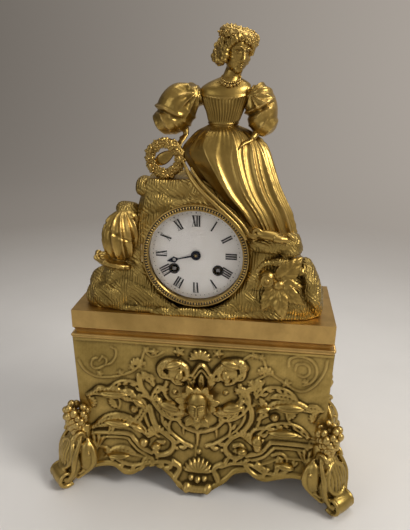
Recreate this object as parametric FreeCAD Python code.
import FreeCAD, Part
import math
import os

Vector = FreeCAD.Vector

# Sizes in millimetres. Origin: floor under the middle of the clock, +Z up, dial facing -Y.

# Base casket
CASKET_HALF_WIDTH = 130.0
CASKET_HALF_DEPTH = 47.0
CASKET_TOP_Z = 174.0
CASKET_WALL = 3.0
CASKET_TOP_FLARE = 1.5
NECK_Z = 88.0
FLARE_RADIUS = 190.0
CORNER_Z = 22.0
APRON_SIDE_Z = 26.0
APRON_BACK_Z = 30.0
PENDANT_Z = 4.0
PENDANT_HALF_WIDTH = 13.0
OVERRUN = 60.0

# Relief on the front panel
RELIEF_RISE = 4.5
RELIEF_ROOT = 1.0
MASK_RADIUS = 14.0
MASK_Z = 98.0
SCROLL_RADIUS = 19.0
SCROLL_BAND = 5.5
SCROLL_X = 56.0
SCROLL_Z = 84.0
CURL_RADIUS = 10.0
CURL_BAND = 4.0
CURL_X = 24.0
CURL_Z = 136.0
LEAF_LENGTH = 34.0
LEAF_HALF_WIDTH = 6.0
FLOWER_RADIUS = 6.5
BALL_RADIUS = 4.2

# Corner feet
FOOT_HALF_WIDTH = 14.0
FOOT_TOP_Z = 64.0
FOOT_TOP_OUT = 7.0
FOOT_KNEE_OUT = 24.0
FOOT_KNEE_Z = 44.0
TOE_RADIUS = 12.0
TOE_OUT = 26.0
FOOT_HEEL = 8.0
FOOT_PAD = 18.0
VOLUTE_RADIUS = 7.0
VOLUTE_OUT = 2.0
GRAPE_RADIUS = 4.4
GRAPE_ROWS = 5
GRAPE_TOP_Z = 88.0
GRAPE_RING = 9.0
GRAPE_STEP = 7.2
GRAPE_DRAW_IN = 1.3

# Plinth slab and bead moulding
SLAB_OVERHANG = 3.0
SLAB_HEIGHT = 26.0
SLAB_BAND = 19.0
SLAB_WALL = 5.0
SLAB_PLATE = 4.0
CAVETTO_IN = 3.0
CAVETTO_SHARE = 0.8
BEAD_HEIGHT = 5.0
BEAD_OUT = 1.8
BEAD_RING_WIDTH = 10.0
PENDULUM_SLOT_WIDTH = 44.0
PENDULUM_SLOT_DEPTH = 22.0

# Rock mound
ROCK_HEIGHT = 130.0
ROCK_WALL = 5.0
ROCK_POINTS = 16
BOLT_IN = 38.0
BOLT_RADIUS = 2.5
BOLT_CLEARANCE = 0.2
BOLT_HEAD = 6.0
BOLT_HEAD_HEIGHT = 4.0
BOLT_BOSS = 7.0
BOLT_REACH = 9.0

# Movement case, dial and bezel
DIAL_X = -5.5
DIAL_RISE = 61.0
CASE_RADIUS = 47.0
CASE_WALL = 1.4
CASE_FRONT_Y = -38.6
CASE_BACK_Y = 43.0
CASE_CLEARANCE = 0.2
SWING_SLOPE = 0.36
FLANGE_WIDTH = 2.4
FLANGE_THICKNESS = 1.4
CASE_SLOT_WIDTH = 18.0
CASE_SLOT_FRONT_Y = 3.0
CASE_SLOT_BACK_Y = 18.0
DIAL_IN = 1.8
ENAMEL_THICKNESS = 1.2
DIAL_CROWN = 1.0
DIAL_PLATE_THICKNESS = 1.0
DIAL_HOLE = 3.4
WINDING_HOLE = 4.6
BEZEL_WIDTH = 4.85
BEZEL_IN = 2.1
BEZEL_DEPTH = 7.8
BEZEL_GAP = 0.3
BEZEL_LIP = 1.6
GLASS_THICKNESS = 1.6
GLASS_CLEARANCE = 0.1
GLASS_CROWN = 2.2
HINGE_OUT = 2.2
KNUCKLE_RADIUS = 1.9
KNUCKLE_LENGTH = 6.0
KNUCKLE_GAP = 0.2
PIN_RADIUS = 0.8
PIN_CLEARANCE = 0.05
COVER_THICKNESS = 1.6
COVER_GAP = 0.3
LIP_OPENING = 6.0

# Movement frame
PLATE_IN = 5.5
PLATE_THICKNESS = 2.0
PLATE_FRONT_Y = -30.0
PLATE_SPACE = 30.0
PILLAR_RADIUS = 2.6
PILLAR_ANGLES = (46.0, 134.0, 167.9, 270.0, 12.1)
PILLAR_IN = 4.2
DIAL_FOOT_RADIUS = 1.6
DIAL_FEET = 3
DIAL_FOOT_IN = 7.5
STRAP_IN = 3.4
STRAP_WIDTH = 8.0
STRAP_THICKNESS = 1.2
PIVOT_RADIUS = 0.4
ARBOR_RADIUS = 0.6
STUD_RADIUS = 1.0
CENTRE_ARBOR = 1.0
PIVOT_CLEARANCE = 0.05
SHOULDER_GAP = 0.3

# Wheels
WHEEL_THICKNESS = 1.2
GREAT_WHEEL_THICKNESS = 2.0
PINION_THICKNESS = 2.6
TOOTH_ADDENDUM_SHARE = 0.80
TOOTH_DEDENDUM_SHARE = 1.15
TOOTH_ROOT_SHARE = 0.46
TOOTH_TIP_SHARE = 0.14
CROSSINGS = 5
CROSSING_RING_SHARE = 0.58
CROSSING_SHARE = 0.24
GREAT_MODULE = 0.34
SECOND_MODULE = 0.34
CENTRE_MODULE = 0.28
THIRD_MODULE = 0.26
STRIKE_MODULE = 0.32
PIN_WHEEL_MODULE = 0.30
FLY_MODULE = 0.28
MINUTE_MODULE = 0.50
GREAT_TEETH = 84
GREAT_PINION = 12
SECOND_TEETH = 66
CENTRE_PINION = 12
CENTRE_TEETH = 84
THIRD_PINION = 7
THIRD_TEETH = 75
ESCAPE_PINION = 7
ESCAPE_TEETH = 36
STRIKE_TEETH = 90
STRIKE_PINION = 12
PIN_WHEEL_TEETH = 72
PIN_WHEEL_PINION = 8
STRIKE_THIRD_TEETH = 63
FLY_PINION = 7
CANNON_TEETH = 12
MINUTE_TEETH = 36
MINUTE_PINION = 10
HOUR_TEETH = 40
BARREL_X = 21.2
BARREL_DROP = 14.6
BARREL_WALL = 1.0
BARREL_RIM_IN = 0.6
BARREL_LENGTH = 18.0
BARREL_ARBOR = 2.4
SQUARE_SIDE = 3.4
SPRING_COILS = 6
SPRING_THICKNESS = 0.5

# Where each wheel stands behind the front plate
BARREL_LEVEL = 6.0
SECOND_LEVEL = 2.2
CENTRE_LEVEL = 27.2
THIRD_LEVEL = 12.0
ESCAPE_LEVEL = 22.0
STRIKE_THIRD_LEVEL = 15.0
MINUTE_LEVEL = 0.6
HOUR_LEVEL = 2.8

# Escapement, crutch and pendulum
ANCHOR_RISE = 31.0
ESCAPE_RISE = 18.5
ESCAPE_RADIUS = 8.8
ESCAPE_TOOTH = 1.3
ANCHOR_THICKNESS = 1.2
ANCHOR_BAND = 1.3
PALLET_GAP = 0.6
PALLET_WIDTH = 0.8
PALLET_ANGLE = 52.0
CRUTCH_LENGTH = 38.0
CRUTCH_WIDTH = 1.6
FORK_PRONG = 0.8
FORK_GAP = 0.2
PENDULUM_Y = 10.0
PENDULUM_LENGTH = 150.0
ROD_RADIUS = 0.9
BOB_RADIUS = 17.0
BOB_THICKNESS = 9.0
BOB_EDGE = 2.0
NUT_RADIUS = 3.2
NUT_HEIGHT = 2.6
NUT_GAP = 0.1
SPRING_STRIP_WIDTH = 5.0
SPRING_STRIP_THICKNESS = 0.3
STRIP_LENGTH = 9.0
COCK_WIDTH = 24.0
COCK_HEIGHT = 8.0
COCK_FOOT = 5.0
COCK_BRIDGE_Y = 7.2
COCK_THICKNESS = 1.6

# Striking
FLY_WIDTH = 13.0
FLY_LENGTH = 9.0
FLY_THICKNESS = 0.5
STRIKE_PINS = 12
HAMMER_X = -14.0
HAMMER_DROP = 36.0
HAMMER_HEAD_X = -26.0
HAMMER_HEAD_DROP = 4.0
HAMMER_HEAD_RADIUS = 3.0
HAMMER_ARM = 1.5
HAMMER_ARM_Y = 7.4
BELL_RADIUS = 33.0
BELL_SHOULDER_SHARE = 0.86
BELL_RISE_SHARE = 0.72
BELL_WALL = 2.0
BELL_MOUTH_Y = 15.0
BELL_DEPTH = 18.0
BELL_DROP = 2.0
STAND_X = 16.0
STAND_DROP = 36.0
STAND_RADIUS = 2.0
STAND_STRAP = 2.0

# Hands
HAND_THICKNESS = 0.6
HOUR_HAND_LENGTH = 29.0
HAND_HUB_RADIUS = 4.4
HAND_WIDTH = 1.6
LOZENGE_SHARE = 0.74
LOZENGE_HALF = 3.2
LOZENGE_TAIL = 4.5
LOZENGE_HOLE = 1.6
HOUR_HAND_ANGLE = 256.0
HAND_GAP = 0.8
CANNON_RADIUS = 1.7
HOUR_PIPE_RADIUS = 2.6
PIPE_CLEARANCE = 0.06

# Figure
FIGURE_RISE = 76.0
FIGURE_HEIGHT = 190.0
SKIRT_POINTS = 24
SKIRT_FOLDS = 8
FOLD_DEPTH_SHARE = 0.05
PLEATS = 12
PLEAT_SHARE = 0.01
HEAD_X = 26.0
HEAD_Y = -3.0
HEAD_RISE = 164.0
HEAD_HALF_WIDTH = 13.0
HEAD_HALF_HEIGHT = 18.5
HEAD_HALF_DEPTH = 15.5
NECK_RADIUS = 5.6
NECK_BASE_RISE = 143.0
HAIR_OUT = 3.0
CROWN_RADIUS = 16.0
CROWN_FLOWER = 4.4
CROWN_FLOWERS = 13
CROWN_RISE = 181.5
CROWN_LEAN = 16.0
RINGLETS = 5
CURL_BALL = 3.6
SLEEVE_RISE = 116.0
LEFT_SLEEVE_X = -28.0
RIGHT_SLEEVE_X = 49.5
SLEEVE_HALF_WIDTH = 21.0
SLEEVE_HALF_HEIGHT = 24.0
SLEEVE_HALF_DEPTH = 19.0
RIGHT_SLEEVE_HALF_WIDTH = 15.5
HAND_LENGTH = 15.0
HAND_DROP_SHARE = 1.4
FOREARM_RADIUS = 5.0
BLOB_POINTS = 14
BLOB_ROWS = 7
SHOE_LENGTH = 26.0
SHOE_RADIUS = 5.0
SHOE_X = 61.0
SHOE_RISE = 2.0
SHOE_FRONT_Y = -46.0

# Things lying on the rock
WREATH_X = -38.0
WREATH_Y = -19.0
WREATH_RADIUS = 14.8
WREATH_BAND = 4.4
WREATH_SINK = 0.8
BONNET_X = -90.0
BONNET_Y = -24.0
BONNET_RISE = 72.0
BONNET_HALF_WIDTH = 17.0
BONNET_HALF_DEPTH = 21.0
BONNET_HALF_HEIGHT = 27.0
BRIM_X = -103.0
BRIM_RISE = 42.5
BRIM_HALF_WIDTH = 19.0
BRIM_HALF_HEIGHT = 6.5
BRIM_HALF_DEPTH = 18.0
SPRAY_X = 76.0
SPRAY_Y = -41.0
SPRAY_RISE = 27.0
SPRAY_LEAF = 27.0
SPRAY_LEAF_HALF = 6.5
SPRAY_THICKNESS = 4.0
SPRAY_LEAVES = 5
SPRAY_FIRST_ANGLE = -143.0
SPRAY_STEP_ANGLE = 40.0
SPRAY_FRUIT = 8.0

# Places worked out from the sizes
FACE_Y = -CASKET_HALF_DEPTH
SLAB_HALF_WIDTH = CASKET_HALF_WIDTH
SLAB_HALF_DEPTH = CASKET_HALF_DEPTH + SLAB_OVERHANG
SLAB_TOP_Z = CASKET_TOP_Z + BEAD_HEIGHT + SLAB_HEIGHT
BOLT_X = SLAB_HALF_WIDTH - BOLT_IN
DIAL_Z = SLAB_TOP_Z + DIAL_RISE
FLANGE_RADIUS = CASE_RADIUS + FLANGE_WIDTH
DIAL_RADIUS = CASE_RADIUS - DIAL_IN
BEZEL_SIGHT = CASE_RADIUS - BEZEL_IN
BEZEL_RADIUS = BEZEL_SIGHT + BEZEL_WIDTH
PLATE_RADIUS = CASE_RADIUS - PLATE_IN
PILLAR_RING = PLATE_RADIUS - PILLAR_IN
DIAL_FOOT_RING = PLATE_RADIUS - DIAL_FOOT_IN
STRAP_RADIUS = CASE_RADIUS - STRAP_IN
FIGURE_Z = SLAB_TOP_Z + FIGURE_RISE
HEAD_Z = FIGURE_Z + HEAD_RISE
NECK_BASE_Z = FIGURE_Z + NECK_BASE_RISE
CROWN_Z = FIGURE_Z + CROWN_RISE
SLEEVE_Z = FIGURE_Z + SLEEVE_RISE
SHOE_Z = FIGURE_Z + SHOE_RISE
BONNET_Z = SLAB_TOP_Z + BONNET_RISE
BRIM_Z = SLAB_TOP_Z + BRIM_RISE
SPRAY_Z = SLAB_TOP_Z + SPRAY_RISE
PLATE_BACK_Y = PLATE_FRONT_Y + PLATE_THICKNESS
REAR_PLATE_Y = PLATE_BACK_Y + PLATE_SPACE
REAR_FACE_Y = REAR_PLATE_Y + PLATE_THICKNESS
CASE_BORE = CASE_RADIUS - CASE_WALL
PIVOT_Z = DIAL_Z + ANCHOR_RISE
BEZEL_BACK_Y = CASE_FRONT_Y - BEZEL_GAP
BEZEL_FRONT_Y = BEZEL_BACK_Y - BEZEL_DEPTH
DIAL_Y = CASE_FRONT_Y
ROCK_TOP_Z = SLAB_TOP_Z + ROCK_HEIGHT
FULL_TURN = 2.0 * math.pi
HALF = 0.5


# Small helpers

def save(name, shape):
    shape.exportStep(f"parts/{name}.step")


def along_y(radius, start, end, x, z):
    return Part.makeCylinder(radius, end - start, Vector(x, start, z), Vector(0, 1, 0))


def upright(radius, bottom, top, x, y):
    return Part.makeCylinder(radius, top - bottom, Vector(x, y, bottom))


def ring_y(outer, inner, start, end, x, z):
    return along_y(outer, start, end, x, z).cut(along_y(inner, start, end, x, z))


def block(x, y, z):
    return Part.makeBox(x[1] - x[0], y[1] - y[0], z[1] - z[0], Vector(x[0], y[0], z[0]))


def sheet_y(points, start, end):
    corners = [Vector(x, start, z) for x, z in points]
    return Part.Face(Part.makePolygon(corners + corners[:1])).extrude(Vector(0, end - start, 0))


def joined(shapes):
    return shapes[0].multiFuse(shapes[1:]).removeSplitter() if len(shapes) > 1 else shapes[0]


def polar(x, z, radius, angle):
    return x + radius * math.cos(angle), z + radius * math.sin(angle)


def loft_rows(rows):
    wires = [Part.makePolygon(row + row[:1]) for row in rows]
    return Part.makeLoft(wires, True, True)


def blob(centre, half_width, half_depth, half_height, lean=0.0):
    """A rounded closed form of level rows; lean moves its top to +X."""
    rows = []
    for row in range(BLOB_ROWS):
        tilt = math.pi * (row + HALF) / BLOB_ROWS - math.pi / 2
        girth = math.cos(tilt)
        rise = math.sin(tilt)
        rows.append([
            Vector(
                centre[0] + half_width * girth * math.cos(FULL_TURN * k / BLOB_POINTS) + lean * rise,
                centre[1] + half_depth * girth * math.sin(FULL_TURN * k / BLOB_POINTS),
                centre[2] + half_height * rise,
            )
            for k in range(BLOB_POINTS)
        ])
    return loft_rows(rows)


def box_section(share, unit, x0, y0, z0, points, corner_share, folds=0, fold_share=0.0):
    """One level row of a form given by its left, right, front and back as shares of a size."""
    z, left, right, front, back = share
    row = []
    for k in range(points):
        angle = FULL_TURN * k / points
        across = math.copysign(abs(math.cos(angle)) ** corner_share, math.cos(angle))
        deep = math.copysign(abs(math.sin(angle)) ** corner_share, math.sin(angle))
        swell = 1.0 + fold_share * math.cos(folds * angle)
        x = (left + right) / 2 + (right - left) / 2 * across * swell
        y = (front + back) / 2 + (back - front) / 2 * deep * swell
        row.append(Vector(x0 + unit * x, y0 + unit * y, z0 + unit * z))
    return row


# Casket: a four-sided body whose walls spring outwards to the feet

def wall_profile(half, low, top):
    """Outline of the casket across one of its directions, as a closed wire in (distance, height)."""
    def out(z):
        return half + FLARE_RADIUS - math.sqrt(FLARE_RADIUS ** 2 - (NECK_Z - z) ** 2)
    middle = (low + NECK_Z) / 2
    return out(low), out(middle), middle, half, half + CASKET_TOP_FLARE, low, top


def wall_body(half, low, top, length, along_x):
    foot, belly, middle, neck, rim, low, top = wall_profile(half, low, top)

    def place(distance, z):
        return Vector(-length, distance, z) if along_x else Vector(distance, -length, z)
    right_arc = Part.Arc(place(foot, low), place(belly, middle), place(neck, NECK_Z)).toShape()
    left_arc = Part.Arc(place(-neck, NECK_Z), place(-belly, middle), place(-foot, low)).toShape()
    edges = [
        right_arc,
        Part.makeLine(place(neck, NECK_Z), place(rim, top)),
        Part.makeLine(place(rim, top), place(-rim, top)),
        Part.makeLine(place(-rim, top), place(-neck, NECK_Z)),
        left_arc,
        Part.makeLine(place(-foot, low), place(foot, low)),
    ]
    reach = Vector(2 * length, 0, 0) if along_x else Vector(0, 2 * length, 0)
    return Part.Face(Part.Wire(edges)).extrude(reach)


def casket_body(inset):
    length = CASKET_HALF_WIDTH + OVERRUN
    front_back = wall_body(CASKET_HALF_DEPTH - inset, PENDANT_Z, CASKET_TOP_Z, length, True)
    sides = wall_body(CASKET_HALF_WIDTH - inset, PENDANT_Z, CASKET_TOP_Z, length, False)
    return front_back.common(sides)


def panel_y(z):
    """Front of the casket's front wall at a height."""
    if z >= NECK_Z:
        return FACE_Y - CASKET_TOP_FLARE * (z - NECK_Z) / (CASKET_TOP_Z - NECK_Z)
    return FACE_Y - FLARE_RADIUS + math.sqrt(FLARE_RADIUS ** 2 - (NECK_Z - z) ** 2)


apron_edge_shares = (
    (0.90, 1.00), (0.80, 1.25), (0.72, 0.95), (0.62, 0.70), (0.52, 0.62),
    (0.44, 1.00), (0.32, 1.10), (0.24, 0.75), (0.16, 0.30),
)


def apron_cutter():
    """Everything below the shaped lower edge of the front panel."""
    half = CASKET_HALF_WIDTH
    right = [(half * across, CORNER_Z * rise) for across, rise in apron_edge_shares]
    outside = [(half + OVERRUN, CORNER_Z), (half + OVERRUN, -OVERRUN), (PENDANT_HALF_WIDTH, -OVERRUN)]
    points = outside + [(PENDANT_HALF_WIDTH, PENDANT_Z)] + right[::-1]
    right_side = sheet_y(points, FACE_Y - OVERRUN, 0)
    left_side = sheet_y([(-x, z) for x, z in points], FACE_Y - OVERRUN, 0)
    return right_side, left_side


def side_arch(direction):
    """The low arch under a side or back panel."""
    if direction == "back":
        half = CASKET_HALF_WIDTH
        ends = [Vector(-half - OVERRUN, 0, CORNER_Z), Vector(half + OVERRUN, 0, CORNER_Z)]
        crown = Vector(0, 0, APRON_BACK_Z)
        reach = Vector(0, CASKET_HALF_DEPTH + OVERRUN, 0)
    else:
        half = CASKET_HALF_DEPTH
        ends = [Vector(0, -half - OVERRUN, CORNER_Z), Vector(0, half + OVERRUN, CORNER_Z)]
        crown = Vector(0, 0, APRON_SIDE_Z)
        sign = 1 if direction == "right" else -1
        reach = Vector(sign * (CASKET_HALF_WIDTH + OVERRUN), 0, 0)
    drop = Vector(0, 0, -OVERRUN - CORNER_Z)
    edges = [
        Part.Arc(ends[0], crown, ends[1]).toShape(),
        Part.makeLine(ends[1], ends[1] + drop),
        Part.makeLine(ends[1] + drop, ends[0] + drop),
        Part.makeLine(ends[0] + drop, ends[0]),
    ]
    return Part.Face(Part.Wire(edges)).extrude(reach)


def mitre_wedge(direction):
    """The quarter of the plan that one panel fills, mitred at the corners."""
    spine = CASKET_HALF_WIDTH - CASKET_HALF_DEPTH
    far = CASKET_HALF_DEPTH + OVERRUN
    plan = {
        "front": [(-spine, 0), (-spine - far, -far), (spine + far, -far), (spine, 0)],
        "back": [(-spine, 0), (spine, 0), (spine + far, far), (-spine - far, far)],
        "right": [(spine, 0), (spine + far, -far), (spine + far, far)],
        "left": [(-spine, 0), (-spine - far, far), (-spine - far, -far)],
    }[direction]
    corners = [Vector(x, y, 0) for x, y in plan]
    face = Part.Face(Part.makePolygon(corners + corners[:1]))
    return face.extrude(Vector(0, 0, CASKET_TOP_Z + OVERRUN))


def relief_back(z, half_height):
    """Depth inside the wall at which a relief piece of a given height starts."""
    return min(panel_y(z) + RELIEF_ROOT, panel_y(z - half_height) + CASKET_WALL * HALF)


def relief_ball(x, z, radius, sink):
    """A rounded boss standing proud of the panel, its pole towards the viewer."""
    back = relief_back(z, radius)
    centre = Vector(x, panel_y(z) - RELIEF_RISE * HALF + sink, z)
    ball = Part.makeSphere(radius, centre, Vector(0, -1, 0))
    return ball.common(along_y(2 * radius, centre.y - 2 * radius, back, x, z))


def relief_leaf(x, z, angle, length, half_width):
    """A pointed leaf with two bowed sides, standing proud of the panel."""
    tip = polar(x, z, length, angle)
    middle = polar(x, z, length / 2, angle)
    side = [polar(middle[0], middle[1], half_width, angle + turn) for turn in (math.pi / 2, -math.pi / 2)]
    half_height = abs(tip[1] - z) / 2 + half_width
    start = panel_y(middle[1]) - RELIEF_RISE

    def place(point):
        return Vector(point[0], start, point[1])
    edges = [
        Part.Arc(place((x, z)), place(side[0]), place(tip)).toShape(),
        Part.Arc(place(tip), place(side[1]), place((x, z))).toShape(),
    ]
    depth = relief_back(middle[1], half_height) - start
    return Part.Face(Part.Wire(edges)).extrude(Vector(0, depth, 0))


def relief_scroll(x, z, radius, band):
    """A scroll: a raised round ring with a ball at its eye."""
    back = relief_back(z, radius)
    ring = ring_y(radius, radius - band, panel_y(z) - RELIEF_RISE, back, x, z)
    return [ring, relief_ball(x, z, band, 0)]


relief_leaf_shares = ((0.42, 1.30, 0.25), (0.62, 0.52, -0.30), (0.66, 1.42, 0.05), (0.20, 0.70, -0.2))
relief_flower_shares = ((0.44, 1.70), (0.80, 1.60), (0.20, 1.82), (0.66, 1.78))


def relief_pieces():
    pieces = [relief_ball(0, MASK_Z, MASK_RADIUS, MASK_RADIUS * HALF)]
    for side in (-1, 1):
        pieces += relief_scroll(side * SCROLL_X, SCROLL_Z, SCROLL_RADIUS, SCROLL_BAND)
        pieces += relief_scroll(side * CURL_X, CURL_Z, CURL_RADIUS, CURL_BAND)
        out = 0 if side > 0 else math.pi
        for across, up, turn in relief_leaf_shares:
            x = side * across * CASKET_HALF_WIDTH
            pieces.append(relief_leaf(x, up * NECK_Z, out + side * turn, LEAF_LENGTH, LEAF_HALF_WIDTH))
        for across, up in relief_flower_shares:
            pieces.append(relief_ball(side * across * CASKET_HALF_WIDTH, up * NECK_Z, FLOWER_RADIUS, 0))
        pieces.append(relief_ball(side * 2 * BALL_RADIUS, CORNER_Z, BALL_RADIUS, 0))
    return pieces


def casket_panels():
    shell = casket_body(0).cut(casket_body(CASKET_WALL))
    front = shell.common(mitre_wedge("front"))
    for cutter in apron_cutter():
        front = front.cut(cutter)
    for piece in relief_pieces():
        front = front.fuse(piece)
    save("casket_front", front)
    for side in ("left", "right", "back"):
        name = "casket_back" if side == "back" else f"casket_side_{side}"
        save(name, shell.common(mitre_wedge(side)).cut(side_arch(side)))


# Corner feet, set on the diagonal of each corner

def foot(sign_x, sign_y):
    knee = Vector(FOOT_KNEE_OUT, 0, FOOT_KNEE_Z)
    top = Vector(FOOT_TOP_OUT, 0, FOOT_TOP_Z)
    toe = Vector(TOE_OUT, 0, TOE_RADIUS)
    brow = Vector(TOE_OUT + TOE_RADIUS * math.sin(HALF), 0, TOE_RADIUS * (1.0 + math.cos(HALF)))
    tip = Vector(TOE_OUT + TOE_RADIUS, 0, TOE_RADIUS)
    sole = Vector(TOE_OUT, 0, 0)
    heel = Vector(TOE_OUT - FOOT_PAD, 0, 0)
    inside = Vector(-FOOT_HEEL, 0, CORNER_Z - FOOT_HEEL)
    back = Vector(-FOOT_HEEL, 0, FOOT_TOP_Z)
    edges = [
        Part.Arc(top, knee, brow).toShape(),
        Part.Arc(brow, tip, sole).toShape(),
        Part.makeLine(sole, heel),
        Part.makeLine(heel, inside),
        Part.makeLine(inside, back),
        Part.makeLine(back, top),
    ]
    leg = Part.Face(Part.Wire(edges)).extrude(Vector(0, 2 * FOOT_HALF_WIDTH, 0))
    leg.translate(Vector(0, -FOOT_HALF_WIDTH, 0))
    half = FOOT_HALF_WIDTH + VOLUTE_OUT
    volute = Part.makeCylinder(VOLUTE_RADIUS, 2 * half, toe - Vector(0, half, 0), Vector(0, 1, 0))
    shape = leg.multiFuse([volute] + grapes())
    shape.rotate(Vector(0, 0, 0), Vector(0, 0, 1), math.degrees(math.atan2(sign_y, sign_x)))
    shape.translate(Vector(sign_x * CASKET_HALF_WIDTH, sign_y * CASKET_HALF_DEPTH, 0))
    return largest(shape.cut(foot_seat()))


def grapes():
    """A hanging bunch over the knee of a foot, round a solid core."""
    low = GRAPE_TOP_Z - (GRAPE_ROWS - 1) * GRAPE_STEP
    core = Part.makeCone(GRAPE_RADIUS, GRAPE_RING, GRAPE_TOP_Z - low, Vector(0, 0, low))
    bunch = [core]
    for row in range(GRAPE_ROWS):
        z = GRAPE_TOP_Z - row * GRAPE_STEP
        ring = GRAPE_RING - row * GRAPE_DRAW_IN
        count = GRAPE_ROWS - row // 2
        for k in range(count):
            angle = (k - (count - 1) * HALF) * 2 * GRAPE_RADIUS / ring
            place = Vector(ring * math.cos(angle), ring * math.sin(angle), z)
            bunch.append(Part.makeSphere(GRAPE_RADIUS, place))
    return bunch


def foot_seat():
    """The casket above the level of its corners, which each foot is shaped to."""
    far = CASKET_HALF_WIDTH + OVERRUN
    return casket_body(0).common(block((-far, far), (-far, far), (CORNER_Z, CASKET_TOP_Z)))


def feet():
    for sign_y, row in ((-1, "front"), (1, "back")):
        for sign_x, side in ((-1, "left"), (1, "right")):
            save(f"foot_{row}_{side}", foot(sign_x, sign_y))


# Plinth slab and the bead moulding under it

def slab_profile(half, length, along_x):
    bottom = CASKET_TOP_Z + BEAD_HEIGHT
    band_low = SLAB_TOP_Z - SLAB_BAND
    mid_in = CAVETTO_IN * CAVETTO_SHARE
    mid_z = bottom + (band_low - bottom) * HALF

    def place(distance, z):
        return Vector(-length, distance, z) if along_x else Vector(distance, -length, z)
    edges = [
        Part.makeLine(place(half, SLAB_TOP_Z), place(-half, SLAB_TOP_Z)),
        Part.makeLine(place(-half, SLAB_TOP_Z), place(-half, band_low)),
        Part.Arc(
            place(-half, band_low), place(-half + mid_in, mid_z), place(-half + CAVETTO_IN, bottom)
        ).toShape(),
        Part.makeLine(place(-half + CAVETTO_IN, bottom), place(half - CAVETTO_IN, bottom)),
        Part.Arc(
            place(half - CAVETTO_IN, bottom), place(half - mid_in, mid_z), place(half, band_low)
        ).toShape(),
        Part.makeLine(place(half, band_low), place(half, SLAB_TOP_Z)),
    ]
    reach = Vector(2 * length, 0, 0) if along_x else Vector(0, 2 * length, 0)
    return Part.Face(Part.Wire(edges)).extrude(reach)


def slab():
    length = SLAB_HALF_WIDTH + OVERRUN
    body = slab_profile(SLAB_HALF_DEPTH, length, True).common(slab_profile(SLAB_HALF_WIDTH, length, False))
    wide = SLAB_HALF_WIDTH - CAVETTO_IN - SLAB_WALL
    deep = SLAB_HALF_DEPTH - CAVETTO_IN - SLAB_WALL
    hollow = block((-wide, wide), (-deep, deep), (CASKET_TOP_Z, SLAB_TOP_Z - SLAB_PLATE))
    low = SLAB_TOP_Z - 2 * SLAB_PLATE
    high = SLAB_TOP_Z + SLAB_PLATE
    body = body.cut(hollow).cut(pendulum_slot(low, high))
    for hole in bolt_rods(BOLT_CLEARANCE, low, high):
        body = body.cut(hole)
    save("plinth_slab", body)


def pendulum_slot(low, high):
    x = (DIAL_X - PENDULUM_SLOT_WIDTH / 2, DIAL_X + PENDULUM_SLOT_WIDTH / 2)
    y = (PENDULUM_Y - PENDULUM_SLOT_DEPTH / 2, PENDULUM_Y + PENDULUM_SLOT_DEPTH / 2)
    return block(x, y, (low, high))


def bolt_rods(clearance, low, high):
    return [upright(BOLT_RADIUS + clearance, low, high, side * BOLT_X, 0) for side in (-1, 1)]


def bead_moulding():
    low = CASKET_TOP_Z
    high = CASKET_TOP_Z + BEAD_HEIGHT
    length = SLAB_HALF_WIDTH + OVERRUN

    def bar(half, along_x):
        edge = half - BEAD_OUT * HALF

        def place(distance, z):
            return Vector(-length, distance, z) if along_x else Vector(distance, -length, z)
        middle = (low + high) / 2
        edges = [
            Part.makeLine(place(-edge, low), place(edge, low)),
            Part.Arc(place(edge, low), place(edge + BEAD_OUT, middle), place(edge, high)).toShape(),
            Part.makeLine(place(edge, high), place(-edge, high)),
            Part.Arc(place(-edge, high), place(-edge - BEAD_OUT, middle), place(-edge, low)).toShape(),
        ]
        reach = Vector(2 * length, 0, 0) if along_x else Vector(0, 2 * length, 0)
        return Part.Face(Part.Wire(edges)).extrude(reach)
    wide = SLAB_HALF_WIDTH - BEAD_RING_WIDTH
    deep = SLAB_HALF_DEPTH - BEAD_RING_WIDTH
    ring = bar(SLAB_HALF_DEPTH, True).common(bar(SLAB_HALF_WIDTH, False))
    save("bead_moulding", ring.cut(block((-wide, wide), (-deep, deep), (low, high))))


def fixing_bolts():
    bolts = []
    seat = SLAB_TOP_Z - SLAB_PLATE
    for rod in bolt_rods(0, seat, SLAB_TOP_Z + BOLT_REACH):
        centre = rod.CenterOfMass
        head = upright(BOLT_HEAD, seat - BOLT_HEAD_HEIGHT, seat, centre.x, centre.y)
        bolts.append(rod.fuse(head))
    save("fixing_bolts", Part.makeCompound(bolts))


# Rock mound with the seat for the movement case

rock_shares = (
    (0.000, -0.931, 0.931, -0.362, 0.354),
    (0.131, -0.915, 0.892, -0.354, 0.346),
    (0.269, -0.800, 0.831, -0.338, 0.338),
    (0.408, -0.677, 0.708, -0.315, 0.323),
    (0.608, -0.569, 0.646, -0.300, 0.308),
    (0.808, -0.508, 0.338, -0.285, 0.292),
    (1.000, -0.438, 0.062, -0.231, 0.215),
)
ROCK_CORNER_SHARE = 0.45
ROCK_HOLLOW_SHARE = 0.92


def rock_outside():
    rows = [
        box_section(share, ROCK_HEIGHT, 0, 0, SLAB_TOP_Z, ROCK_POINTS, ROCK_CORNER_SHARE)
        for share in rock_shares
    ]
    return loft_rows(rows)


def rock_inside():
    rows = []
    wall_share = ROCK_WALL / ROCK_HEIGHT
    for z, left, right, front, back in rock_shares:
        share = (z * ROCK_HOLLOW_SHARE, left + wall_share, right - wall_share,
                 front + wall_share, back - wall_share)
        rows.append(box_section(share, ROCK_HEIGHT, 0, 0, SLAB_TOP_Z, ROCK_POINTS, ROCK_CORNER_SHARE))
    return loft_rows(rows)


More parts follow.
